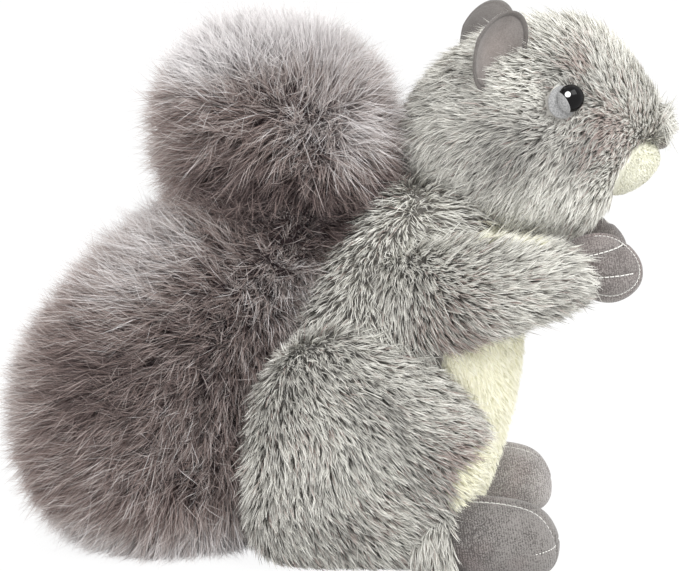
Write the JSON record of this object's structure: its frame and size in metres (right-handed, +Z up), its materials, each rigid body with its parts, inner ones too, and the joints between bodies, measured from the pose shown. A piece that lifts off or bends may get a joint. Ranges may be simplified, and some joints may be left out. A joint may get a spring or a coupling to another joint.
{
  "type": "plush squirrel",
  "caption": "Sitting plush squirrel in silver-grey pile with a cream belly, grey suede ears, paws and feet, and a full curled mauve-brown tail.",
  "frame": {"origin": "middle of the bounding box seen from above, on the surface that the toy sits on", "axes": "+X ahead, the way the body faces; +Y to the toy's left; +Z up"},
  "size_m": [0.3122, 0.138, 0.2503],
  "materials": {
    "silver_pile": "matte",
    "tail_pile": "matte",
    "cream_pile": "matte",
    "grey_suede": "matte",
    "grey_felt": "matte",
    "black_gloss": "gloss",
    "white_nylon": "matte"
  },
  "bodies": {
    "root": {"torso": "silver_pile", "belly_panel": "cream_pile", "head": "silver_pile", "muzzle": "cream_pile", "nose": "grey_suede", "left_eye": "black_gloss", "right_eye": "black_gloss", "left_eye_washer": "white_nylon", "right_eye_washer": "white_nylon", "left_eyelid_felt": "grey_felt", "right_eyelid_felt": "grey_felt", "left_ear": "grey_suede", "right_ear": "grey_suede", "left_arm": "silver_pile", "right_arm": "silver_pile", "left_paw": "grey_suede", "right_paw": "grey_suede", "left_haunch": "silver_pile", "right_haunch": "silver_pile", "left_foot": "grey_suede", "right_foot": "grey_suede", "tail": "tail_pile"}
  },
  "joints": []
}
